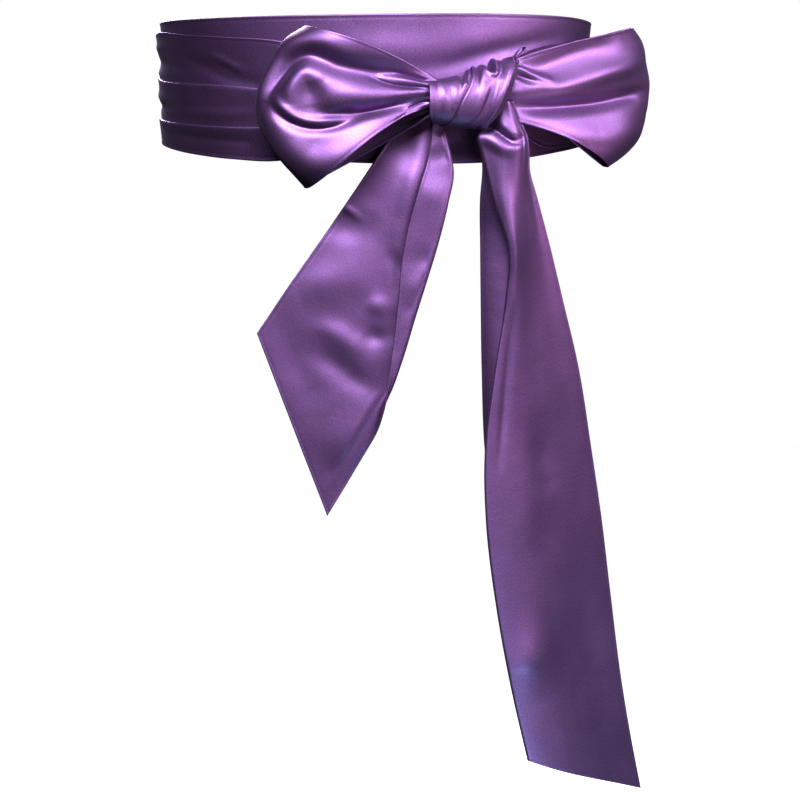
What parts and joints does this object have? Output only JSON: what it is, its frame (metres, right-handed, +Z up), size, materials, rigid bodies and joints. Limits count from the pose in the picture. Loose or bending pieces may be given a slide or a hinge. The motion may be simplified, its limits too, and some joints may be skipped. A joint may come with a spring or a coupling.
{
  "type": "waist sash tied in a bow",
  "caption": "Wide satin sash wound round the waist and tied in a bow over the hip, with a short folded tail and a long tail hanging from the knot",
  "frame": {"origin": "centre of the waist that the sash is wound round, at half the height of the band", "axes": "+Z up, -Y the front, where the bow is, +X the wearer's left"},
  "size_m": [0.3399, 0.2501, 0.5304],
  "materials": {
    "satin": "purple double satin, soft sheen"
  },
  "bodies": {
    "root": {"inner_turn": "satin", "outer_turn": "satin", "knot_core": "satin", "knot_sleeve": "satin", "knot_cross": "satin", "knot_fold": "satin", "loop_left": "satin", "loop_right": "satin", "tail_short": "satin", "tail_long": "satin"}
  },
  "joints": []
}
